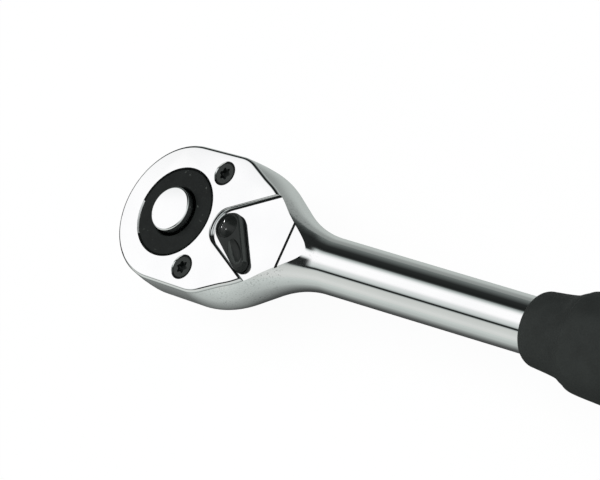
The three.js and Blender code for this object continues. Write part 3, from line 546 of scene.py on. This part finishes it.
def buildBody():
    form = bodyForm
    well = wellForm
    pocket = makePrism(pocketOutline(), well["cavityFloor"], pocketForm["top"])
    window = makeBox((pocketForm["windowFrom"], -pocketForm["windowHalf"], well["cavityFloor"]),
                     (well["leverPivot"], pocketForm["windowHalf"], pocketForm["top"]))
    seal = turnUpright([(0, well["sealFrom"]), (well["sealRadius"], well["sealFrom"]),
                        (well["sealRadius"], well["sealTo"]), (0, well["sealTo"])], 96)
    # boxes that reach well past the head
    headroom = makeBox((-80, -61, form["seat"]), (180, 61, 90))
    groove = makeBox((form["fold"] - form["foldGroove"], -62, form["seat"] - form["foldGrooveDepth"]),
                     (form["fold"], 62, 91))
    floor = well["cavityFloor"]
    over = well["over"]
    bore = turnUpright([(0, well["under"]), (well["boreRadius"], well["under"]), (well["boreRadius"], floor),
                        (well["cavityRadius"], floor), (well["cavityRadius"], over), (0, over)], 128)
    shaft = turnUpright([(0, floor - well["footDepth"]), (well["footHole"], floor - well["footDepth"]),
                         (well["footHole"], floor), (well["shaftHole"], floor),
                         (well["shaftHole"], over), (0, over)], 48, (well["leverPivot"], 0))
    screwHoles = [turnUpright([(0, well["screwFrom"]), (well["screwHole"], well["screwFrom"]),
                               (well["screwHole"], over), (0, over)], 32,
                              (well["screwX"], side * well["screwY"])) for side in (1, -1)]
    return cutAway(buildForging(), [headroom, groove, bore, shaft, seal, pocket, window] + screwHoles)


forged = addPiece(buildBody(), "forgedBody", "handle", shankChrome, ["ratchet_body"], 14)
# the fold groove's faces take the black oxide colour as painted shade in the crease
forged.data.materials.append(blackOxide)
for polygon in forged.data.polygons:
    spot = polygon.center / millimetre
    inGroove = bodyForm["fold"] - bodyForm["foldGroove"] - 0.02 < spot.x < bodyForm["fold"] + 0.02
    if inGroove and bodyForm["seat"] - 0.3 < spot.z < bodyForm["seat"] - 0.01 and abs(polygon.normal.y) < 0.5:
        polygon.material_index = 1


# Cover plate: the head's outline with a rounded top edge, the V notch, the ring's hole and the countersinks

plateForm = {"low": 34.9, "high": 36.0, "edgeRound": 1.0, "rear": 36.8, "bore": 13.5, "boreEase": 0.4,
             "notchEase": 0.5, "notchAngle": 26.2, "notchRadius": 5.9, "notchCentre": 21.8, "notchReach": 40,
             "sinkRadius": 3.75, "sinkFoot": 33.5, "sinkEase": (0.15, 35.7), "under": 30, "over": 40}


def plateOutline():
    form = plateForm
    side = [(x, seatEdgeAt(x)) for x in
            [mixed(bodyForm["straightTo"], form["rear"], k / 48) for k in range(49)]]
    front = arcPoints(0, 0, bodyForm["headRadius"], 90, 270, 72)
    return list(reversed(side)) + front + [(x, -y) for x, y in side]


def notchOutline(grow):
    form = plateForm
    angle = math.radians(form["notchAngle"])
    radius = form["notchRadius"] + grow
    touchX = form["notchCentre"] - radius * math.sin(angle)
    touchY = radius * math.cos(angle)
    farX = touchX + form["notchReach"] * math.cos(angle)
    farY = touchY + form["notchReach"] * math.sin(angle)
    bend = arcPoints(form["notchCentre"], 0, radius, 90 + form["notchAngle"],
                     270 - form["notchAngle"], 40)
    return [(farX, farY)] + bend + [(farX, -farY)]


def buildPlate():
    form = plateForm
    bm = makePrism(plateOutline(), form["low"], form["high"])
    rim = [e for e in bm.edges if all(abs(v.co.z - form["high"]) < 1e-4 for v in e.verts)]
    roundEdges(bm, rim, form["edgeRound"], 15)
    under, over = form["under"], form["over"]
    eased = form["bore"] + form["boreEase"]
    bore = turnUpright([(0, under), (form["bore"], under), (form["bore"], form["high"] - form["boreEase"]),
                        (eased, form["high"]), (eased, over), (0, over)], 144)
    hole = wellForm["screwHole"]
    sink = form["sinkRadius"]
    sinks = [turnUpright([(0, under), (hole, under), (hole, form["sinkFoot"]),
                          (sink - form["sinkEase"][0], form["sinkEase"][1]), (sink, form["high"]),
                          (sink, over), (0, over)], 64,
                         (wellForm["screwX"], side * wellForm["screwY"])) for side in (1, -1)]
    flare = [(notchOutline(0), under)]
    for k in range(7):
        swing = math.pi / 2 * k / 6
        flare.append((notchOutline(form["notchEase"] * (1 - math.cos(swing))),
                      form["high"] - form["notchEase"] * (1 - math.sin(swing)) + 0.001))
    flare.append((notchOutline(form["notchEase"]), over))
    return cutAway(bm, [makeStack(flare), bore] + sinks)


# Where the plate's edges carry painted shade or are satin, by place in millimetres and by tilt and turn in
# degrees
plateShadeForm = {"side": (15, 36), "front": (2, 80), "frontFacing": (-0.15, -0.3), "headBand": 19.5,
            "flankBand": 1.2, "ringBand": 14.2, "ringTilt": (20, 70), "notchFrom": 17,
            "notchAcross": (-13.5, -2), "notchTilt": (8, 80), "brightBore": (178, 222), "brightFlank": 21.5,
            "facing": 0.05}


def within(value, limits):
    return limits[0] < value < limits[1]


# 0 bright face, 1 painted shade, 2 satin edge
def plateFinishAndShade(spot, facing):
    form = plateShadeForm
    reach = math.hypot(spot.x, spot.y)
    tilt = math.degrees(math.acos(min(max(facing.z, -1), 1)))
    turn = math.degrees(math.atan2(spot.y, spot.x)) % 360
    onRing = reach < form["ringBand"] and within(tilt, form["ringTilt"])
    if onRing:
        return 2 if within(turn, form["brightBore"]) else 1
    inNotch = spot.x > form["notchFrom"] and within(spot.y, form["notchAcross"])
    if inNotch and facing.y > form["facing"] and within(tilt, form["notchTilt"]):
        return 1
    atFront = facing.x < form["frontFacing"][0] and facing.y > form["frontFacing"][1]
    if facing.y < -form["facing"] and not atFront and spot.x < form["brightFlank"]:
        return 0
    if spot.x < bodyForm["straightTo"]:
        onRim = reach > form["headBand"]
    else:
        onRim = abs(spot.y) > seatEdgeAt(spot.x) - form["flankBand"]
    return 1 if onRim and within(tilt, form["front" if atFront else "side"]) else 0


plate = addPiece(buildPlate(), "coverFacePlate", "handle", faceChrome, ["cover_plate"], 22)
plate.data.materials.append(paintedShade)
plate.data.materials.append(edgeChrome)
# painted shade goes on the upper edge rounds, the notch wall facing +Y and the ring chamfer away from its
# satin arc
for polygon in plate.data.polygons:
    polygon.material_index = plateFinishAndShade(polygon.center / millimetre, polygon.normal)


# Countersunk screws with a six-lobe socket

screwForm = {"headRadius": 3.45, "shank": 1.6, "top": 35.85, "length": 9.5, "lobe": 1.65, "swing": 0.28,
             "depth": 1.3, "edge": 0.42, "footEase": 0.4}


def buildScrew(side):
    form = screwForm
    cone = form["headRadius"] - form["shank"]
    foot = form["top"] - cone - form["length"]
    bm = turnUpright([(0, foot), (form["shank"] - form["footEase"], foot),
                      (form["shank"], foot + form["footEase"]),
                      (form["shank"], form["top"] - cone), (form["headRadius"], form["top"] - form["edge"]),
                      (form["headRadius"] - form["edge"], form["top"]), (0, form["top"])], 64)
    lobes = []
    for k in range(96):
        turn = 2 * math.pi * k / 96
        r = form["lobe"] + form["swing"] * math.cos(6 * turn)
        lobes.append((r * math.cos(turn), r * math.sin(turn)))
    bm = cutAway(bm, [makePrism(lobes, form["top"] - form["depth"], form["top"] + 1)])
    bmesh.ops.translate(bm, verts=bm.verts[:], vec=(wellForm["screwX"], side * wellForm["screwY"], 0))
    return bm


screwSides = ((1, "faceScrewLeft", "cover_screw_left"), (-1, "faceScrewRight", "cover_screw_right"))
for side, screwName, screwNode in screwSides:
    screw = addPiece(buildScrew(side), screwName, "handle", blackOxide, [screwNode])
    screw.data.materials.append(screwLitTop)
    screw.data.materials.append(paintedShade)
    # painted light on the flat top, painted shade on the chamfer round it
    for polygon in screw.data.polygons:
        level = polygon.center.z / millimetre
        if level > screwForm["top"] - 0.01:
            polygon.material_index = 1
        elif polygon.normal.z > 0.3 and level > screwForm["top"] - screwForm["edge"]:
            polygon.material_index = 2


# Gear: the CAD shape with its ring's and its square's edges eased

gearForm = {"squareTop": 15.9, "squareEase": 0.35, "squareInside": 5.0, "ringFoot": 34.66,
            "ringRadius": 13.3, "ringTop": 35.95, "ringEase": 0.2, "hole": 7.5, "holeEase": 0.3}


def buildGear():
    form = gearForm
    bm = copyOfNode("drive_gear")
    bmesh.ops.dissolve_limit(bm, angle_limit=math.radians(1), verts=bm.verts[:], edges=bm.edges[:])
    square = [e for e in bm.edges if len(e.link_faces) == 2 and e.calc_face_angle() > math.radians(20)
              and max(v.co.z for v in e.verts) < form["squareTop"]
              and min(math.hypot(v.co.x, v.co.y) for v in e.verts) > form["squareInside"]]
    roundEdges(bm, square, form["squareEase"], 3)
    # the ring that shows in the cover is turned finer
    room = makeBox((-30, -30, form["ringFoot"]), (30, 30, 60))
    bm = cutAway(bm, [room])
    ring = turnUpright([(form["hole"], form["ringFoot"]), (form["ringRadius"], form["ringFoot"]),
                        (form["ringRadius"], form["ringTop"] - form["ringEase"]),
                        (form["ringRadius"] - form["ringEase"], form["ringTop"]),
                        (form["hole"] + form["holeEase"], form["ringTop"]),
                        (form["hole"], form["ringTop"] - form["holeEase"]),
                        (form["hole"], form["ringFoot"])], 160)
    joinMesh(bm, ring)
    return bm


addPiece(buildGear(), "driveRing", "drive", blackOxide, ["drive_gear"])


# Push button with a rounded rim

buttonForm = {"radius": 6.85, "foot": 33.45, "top": 38.45, "edge": 0.55, "footEase": 0.3, "pinHole": 2.65,
              "socketTop": 36.65}


def buildButton():
    form = buttonForm
    rim = arcPoints(form["radius"] - form["edge"], form["top"] - form["edge"], form["edge"], 0, 90, 8)
    return turnUpright([(form["pinHole"], form["foot"]), (form["radius"] - form["footEase"], form["foot"]),
                        (form["radius"], form["foot"] + form["footEase"])] + rim +
                       [(0, form["top"]), (0, form["socketTop"]), (form["pinHole"], form["socketTop"]),
                        (form["pinHole"], form["foot"])], 96)


addPiece(buildButton(), "pushButton", "button", buttonChrome, ["release_button"])


# Reversing lever: tapered blade with rounded top edges, a seat for the domed head and a thumb hollow

leverForm = {"pivot": 22.6, "rest": -43.5, "length": 13.1, "endRadius": 4.6, "tipRadius": 2.3,
             "foot": 35.05, "top": 36.95, "lean": (0.55, 1.2), "edge": 0.3, "seatRadius": 3.55,
             "seatDepth": 0.35, "eye": 4.2, "scoop": (4.5, 2.1, 1.25), "scoopAt": 9.2, "scoopLift": 0.15,
             "under": 30, "over": 40}


def buildLever():
    form = leverForm
    lean = math.degrees(math.asin((form["endRadius"] - form["tipRadius"]) / form["length"]))
    outline = arcPoints(0, 0, form["endRadius"], 90 - lean, 270 + lean, 48)
    outline += arcPoints(form["length"], 0, form["tipRadius"], -90 + lean, 90 - lean, 28)
    bm = makePrism(outline, form["foot"], form["top"] - form["lean"][1])
    topFace = [f for f in bm.faces if f.normal.z > 0.9]
    bmesh.ops.inset_region(bm, faces=topFace, thickness=form["lean"][0], depth=0)
    topVerts = list({v for f in topFace for v in f.verts})
    bmesh.ops.translate(bm, verts=topVerts, vec=(0, 0, form["lean"][1]))
    rim = [e for e in bm.edges if all(abs(v.co.z - form["top"]) < 1e-4 for v in e.verts)]
    roundEdges(bm, rim, form["edge"], 4)
    half = form["eye"] / 2
    eye = makeBox((-half, -half, form["under"]), (half, half, form["over"]))
    seatLevel = form["top"] - form["seatDepth"]
    seat = turnUpright([(0, seatLevel), (form["seatRadius"], seatLevel), (form["seatRadius"], form["over"]),
                        (0, form["over"])], 64)
    scoop = bmesh.new()
    bmesh.ops.create_uvsphere(scoop, u_segments=64, v_segments=32, radius=1)
    bmesh.ops.scale(scoop, vec=form["scoop"], verts=scoop.verts[:])
    bmesh.ops.translate(scoop, verts=scoop.verts[:],
                        vec=(form["scoopAt"], 0, form["top"] + form["scoopLift"]))
    bm = cutAway(bm, [eye, seat, scoop])
    bmesh.ops.rotate(bm, verts=bm.verts[:], cent=(0, 0, 0),
                     matrix=Matrix.Rotation(math.radians(form["rest"]), 3, "Z"))
    bmesh.ops.translate(bm, verts=bm.verts[:], vec=(form["pivot"], 0, 0))
    return bm


# Which of the lever's faces take painted light or painted shade, by the way they face along and across it
leverShadeForm = {"hollow": (0.3, 0.999), "lightAcross": 0.35, "lightAlong": -0.25, "darkAcross": -0.45,
            "stripe": (0.2, 0.75), "stripeBelow": 0.25, "stripeTo": 13.2}


# 0 plain black, 1 painted light, 2 painted shade
def leverLightAndShade(spot, facing):
    form = leverShadeForm
    length, width, depth = leverForm["scoop"]
    inScoop = abs(spot.x - leverForm["scoopAt"]) < length and abs(spot.y) < width
    if inScoop and within(facing.z, form["hollow"]):
        if facing.y > form["lightAcross"] or facing.x < form["lightAlong"]:
            return 1
        if facing.y < form["darkAcross"]:
            return 2
    onSide = spot.z < leverForm["top"] - form["stripeBelow"] and within(facing.z, form["stripe"])
    pastSeat = math.hypot(spot.x, spot.y) > leverForm["seatRadius"]
    return 1 if onSide and pastSeat and spot.x < form["stripeTo"] else 0


lever = addPiece(buildLever(), "thumbLever", "lever", leverBlack, ["reversing_lever"], 28)
lever.data.materials.append(leverLitSide)
lever.data.materials.append(paintedShade)
turnBack = Matrix.Rotation(math.radians(-leverForm["rest"]), 3, "Z")
leverPlace = Vector((leverForm["pivot"], 0, 0))
for polygon in lever.data.polygons:
    polygon.material_index = leverLightAndShade(turnBack @ (polygon.center / millimetre - leverPlace),
                                         turnBack @ polygon.normal)


# Lever shaft: the CAD shaft below, a finer dome above

domeForm = {"radius": 3.3, "rise": 0.75, "seat": 0.25}


def buildShaft():
    bm = copyOfNode("lever_shaft")
    crown = domeForm["rise"] + domeForm["seat"]
    capRadius = (domeForm["radius"] ** 2 + crown ** 2) / (2 * crown)
    opening = math.asin(domeForm["radius"] / capRadius)
    low = leverForm["top"] - domeForm["seat"]
    peak = leverForm["top"] + domeForm["rise"]
    cap = [(0, low)]
    for k in range(17):
        swing = opening * (1 - k / 16)
        cap.append((capRadius * math.sin(swing), peak - capRadius * (1 - math.cos(swing))))
    upper = [v for v in bm.verts if v.co.z > low - 0.001]
    bmesh.ops.delete(bm, geom=upper, context="VERTS")
    joinMesh(bm, turnUpright(cap, 64, (leverForm["pivot"], 0)))
    return bm


dome = addPiece(buildShaft(), "leverDome", "lever", domeBlack, ["lever_shaft"])


# Grip: one profile turned round the shank's axis

gripForm = {"start": 124.3, "end": 236.3, "shank": 7.5, "lipRadius": 9.75, "lipRound": 2.6, "endRound": 7.0,
            "endRadius": 13.8, "steps": 96,
            "sweep": ((9.75, 126.9), (10.6, 134.3), (12.16, 138.3), (13.2, 144.3), (14.55, 182.54),
                      (13.6, 216.14), (13.8, 229.3))}


# a smooth curve through all the knots
def smoothThrough(knots, steps):
    points = []
    for k in range(len(knots) - 1):
        a, b, c, d = (knots[min(max(k + m, 0), len(knots) - 1)] for m in (-1, 0, 1, 2))
        for n in range(steps):
            t = n / steps
            spot = []
            for p, q, r, s in zip(a, b, c, d):
                v0, v1 = (r - p) / 2, (s - q) / 2
                spot.append((2 * q - 2 * r + v0 + v1) * t ** 3 + (-3 * q + 3 * r - 2 * v0 - v1) * t ** 2 +
                            v0 * t + q)
            points.append(tuple(spot))
    return points + [knots[-1]]


def buildGrip():
    form = gripForm
    lip = []
    for k in range(13):
        swing = math.pi / 2 * k / 12
        lip.append((mixed(form["shank"], form["lipRadius"], math.sin(swing)),
                    form["start"] + form["lipRound"] * (1 - math.cos(swing))))
    end = []
    for k in range(1, 13):
        swing = math.pi / 2 * k / 12
        end.append((form["endRadius"] - form["endRound"] * (1 - math.cos(swing)),
                    form["end"] - form["endRound"] * (1 - math.sin(swing))))
    points = lip + smoothThrough(form["sweep"], 10)[1:] + end + [(0, form["end"])]
    level = bodyForm["shankLevel"]
    return turnProfile([(x, 0, level + r) for r, x in points], form["steps"], (1, 0, 0), (0, 0, level))


addPiece(buildGrip(), "rubberGrip", "handle", gripRubber, ["grip_sleeve"], 35)


# Ball in the square's side

ballForm = {"radius": 2.4, "place": (0, -4.85, 7.2)}


def buildBall():
    bm = bmesh.new()
    bmesh.ops.create_uvsphere(bm, u_segments=48, v_segments=24, radius=ballForm["radius"])
    bmesh.ops.translate(bm, verts=bm.verts[:], vec=ballForm["place"])
    return bm


addPiece(buildBall(), "detentBall", "ball", groundSteel, ["detent_ball"])


# Button spring, with a mesh of its own; the real spring shortens as the button goes down

releaseCoil = addPiece(copyOfNode("release_spring"), "releaseCoil", "drive", groundSteel,
                       ["release_spring"])
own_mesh(releaseCoil)


# Nodes that keep their CAD shape

nodeFinishes = {"release_pin": groundSteel, "pawl": groundSteel, "pawl_plunger": groundSteel,
                "pawl_spring": groundSteel, "gear_seal": gripRubber, "lever_seal": gripRubber,
                "grip_core": corePlastic}
for nodeName, finish in nodeFinishes.items():
    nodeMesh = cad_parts[nodeName].data
    nodeMesh.materials.clear()
    nodeMesh.materials.append(finish)
print("pieces made")


# Floor, light and camera

floorForm = {"size": 6.0, "middle": (0.05, 0, 0), "tone": (0.06, 0.06, 0.061), "toneChange": 0.004,
             "cameraLift": 0.955, "paintedFrontShade": (-0.1, -0.01), "frontSpread": 1.2, "frontLow": 0.05,
             "tint": (0.92, 1.0, 0.955), "mirrorReach": 0.3}
# painted reflection of the floor in the chrome, with a painted shadow right under the handle, by the distance
# across the handle in metres
paintedFloorReflection = [(-0.3, 0.62), (-0.15, 0.56), (-0.07, 0.47), (-0.045, 0.25), (-0.025, 0.05), (0.0, 0.0),
               (0.012, 0.13), (0.02, 0.48), (0.05, 0.5), (0.1, 0.3), (0.3, 0.26)]


def makeFloor():
    bm = bmesh.new()
    bmesh.ops.create_grid(bm, x_segments=2, y_segments=2, size=floorForm["size"] / 2)
    bmesh.ops.translate(bm, verts=bm.verts[:], vec=floorForm["middle"])
    mesh = bpy.data.meshes.new("paleFloor")
    bm.to_mesh(mesh)
    bm.free()
    floor = bpy.data.objects.new("paleFloor", mesh)
    scene.collection.objects.link(floor)
    material, tree, shader = newMaterial("palePaper", specular=0.0)
    shader.inputs["Roughness"].default_value = 1.0
    cloud = noiseAt(tree, objectPlace(tree), 8, 3)
    low = tuple(c - floorForm["toneChange"] for c in floorForm["tone"])
    tree.links.new(colours(tree, cloud, [(0.3, low), (0.7, floorForm["tone"])]), shader.inputs["Base Color"])
    ray = addNode(tree, "ShaderNodeLightPath").outputs
    seen = ray["Is Camera Ray"]
    tree.links.new(mixColours(tree, seen, floorForm["tint"], (1, 1, 1)), shader.inputs["Emission Color"])
    seenGlow = reckon(tree, "MULTIPLY", seen, floorForm["cameraLift"])
    mirrored = reckon(tree, "MAXIMUM", ray["Is Glossy Ray"], ray["Is Transmission Ray"])
    place = splitPlace(tree, objectPlace(tree))
    reach = floorForm["mirrorReach"]
    share = spread(tree, place["Y"], 0, 1, -reach, reach)
    # painted reflection: glossy and transmission rays see the floor glow by the distance across the handle,
    # with a painted shadow right under it
    glow = colours(tree, share, [((y + reach) / (2 * reach), (v, v, v)) for y, v in paintedFloorReflection])
    # painted shade: that glow fades out ahead of the head
    aside = reckon(tree, "ABSOLUTE", place["Y"])
    ahead = reckon(tree, "MULTIPLY_ADD", aside, floorForm["frontSpread"], place["X"])
    front = spread(tree, ahead, floorForm["frontLow"], 1, *floorForm["paintedFrontShade"])
    paintedReflectionGlow = reckon(tree, "MULTIPLY", mirrored, reckon(tree, "MULTIPLY", glow, front))
    tree.links.new(reckon(tree, "ADD", seenGlow, paintedReflectionGlow), shader.inputs["Emission Strength"])
    mesh.materials.append(material)


# The studio's tent: brightness by the angle round the handle's axis in degrees, 0 straight up, negative
# towards -Y. tentTones lie ahead of the head, roomTones over and beside the part, farTones beyond the grip,
# and straight ahead the tent ends in the dark.
tentTones = [
    (-180, 0.2), (-138, 0.22), (-123, 0.33), (-111, 0.5), (-100, 0.6), (-90, 0.7), (-78, 0.75), (-68, 0.7),
    (-57, 0.66), (-51.5, 0.64), (-47, 0.5), (-45, 0.02), (-39, 0.02), (-37, 0.48), (-30, 0.7), (-21, 0.82),
    (-14, 1.02), (-9, 1.1), (14, 1.1), (20, 0.95), (24, 0.74), (28, 0.53), (32, 0.34), (35, 0.06),
    (40, 0.015), (62, 0.025), (71, 0.075), (81, 0.14), (92, 0.2), (105, 0.3), (122, 0.44), (180, 0.3),
]
roomTones = [
    (-180, 0.2), (-138, 0.22), (-123, 0.33), (-111, 0.5), (-100, 0.6), (-90, 0.7), (-78, 0.75), (-57, 0.66),
    (-51.5, 0.6), (-47, 0.4), (-45, 0.02), (-16, 0.02), (-9, 0.8), (-4, 1.1), (12, 1.1), (17, 0.7),
    (22, 0.02), (66, 0.02), (81, 0.05), (92, 0.12), (105, 0.25), (122, 0.44), (180, 0.3),
]
farTones = [
    (-180, 0.3), (-100, 0.45), (-78, 0.7), (-64, 0.6), (-58, 0.05), (-50, 0.05), (-44, 0.55), (-20, 0.75),
    (0, 0.82), (40, 0.78), (56, 0.6), (62, 0.06), (70, 0.05), (78, 0.3), (110, 0.4), (180, 0.3),
]
tentForm = {"tint": (0.885, 1.0, 0.965), "warmTint": (0.93, 1.0, 0.925), "warmTo": -48,
            "room": (-0.52, -0.42), "far": (0.1, 0.3), "front": (-0.96, -0.88), "dark": (0.02, 0.022, 0.022)}


def tentStops(tones):
    stops = []
    for angle, level in tones:
        share = min(level, 1) ** 2
        tint = tentForm["tint" if angle > tentForm["warmTo"] else "warmTint"]
        stops.append(((angle + 180) / 360, tuple(level * mixed(t, 1, share) for t in tint)))
    return stops


def makeWorld():
    world = bpy.data.worlds.new("lightTent")
    scene.world = world
    world.use_nodes = True
    tree = world.node_tree
    back = tree.nodes["Background"]
    way = splitPlace(tree, addNode(tree, "ShaderNodeTexCoord").outputs["Generated"])
    share = spread(tree, reckon(tree, "ARCTAN2", way["Y"], way["Z"]), 0, 1, -math.pi, math.pi)
    ahead, over, far = (colours(tree, share, tentStops(tones)) for tones in (tentTones, roomTones, farTones))
    light = mixColours(tree, spread(tree, way["X"], 0, 1, *tentForm["room"]), ahead, over)
    light = mixColours(tree, spread(tree, way["X"], 0, 1, *tentForm["far"]), light, far)
    light = mixColours(tree, spread(tree, way["X"], 0, 1, *tentForm["front"]), tentForm["dark"], light)
    seen = addNode(tree, "ShaderNodeLightPath").outputs["Is Camera Ray"]
    tree.links.new(mixColours(tree, seen, light, (1, 1, 1)), back.inputs["Color"])


lampForm = {"size": 1.4, "place": (0.1, 0, 1.6), "power": 9.0}


def makeLamp():
    lampData = bpy.data.lights.new("softBox", "AREA")
    lampData.shape = "SQUARE"
    lampData.size = lampForm["size"]
    lampData.energy = lampForm["power"]
    lamp = bpy.data.objects.new("softBox", lampData)
    lamp.location = lampForm["place"]
    lamp.visible_glossy = False
    scene.collection.objects.link(lamp)


# small bulbs that glint on the lever's dome and light nothing else
bulbForm = {"size": 0.07, "distance": 1.5, "power": 2.2, "aimAt": (0.02, 0, 0.036),
            "spots": ((-0.9, 0.33, 0.3), (-0.9, 0.0, 0.43), (-0.5, -0.13, 0.86))}


def makeBulbs():
    lit = bpy.data.collections.new("bulbLit")
    lit.objects.link(dome)
    for spot in bulbForm["spots"]:
        bulbData = bpy.data.lights.new("bulb", "AREA")
        bulbData.shape = "DISK"
        bulbData.size = bulbForm["size"]
        bulbData.energy = bulbForm["power"]
        bulb = bpy.data.objects.new("bulb", bulbData)
        aim = Vector(spot).normalized()
        bulb.location = Vector(bulbForm["aimAt"]) + aim * bulbForm["distance"]
        bulb.visible_diffuse = False
        bulb.light_linking.receiver_collection = lit
        bulb.rotation_euler = aim.to_track_quat("Z", "Y").to_euler()
        scene.collection.objects.link(bulb)


cameraForm = {"place": (0.371936, -0.072798, 0.393005), "lens": 108.0,
              "right": (0.718459, 0.406775, -0.564226), "up": (-0.211098, 0.900427, 0.380354),
              "back": (0.662763, -0.154162, 0.732789)}


def makeCamera():
    cameraData = bpy.data.cameras.new("photoView")
    cameraData.lens = cameraForm["lens"]
    cameraData.sensor_width = 36.0
    cameraData.clip_start = 0.01
    camera = bpy.data.objects.new("photoView", cameraData)
    turn = Matrix([cameraForm["right"], cameraForm["up"], cameraForm["back"]]).transposed()
    camera.matrix_world = Matrix.Translation(Vector(cameraForm["place"])) @ turn.to_4x4()
    scene.collection.objects.link(camera)
    scene.camera = camera


makeFloor()
makeWorld()
makeLamp()
makeBulbs()
makeCamera()
print("stage set")
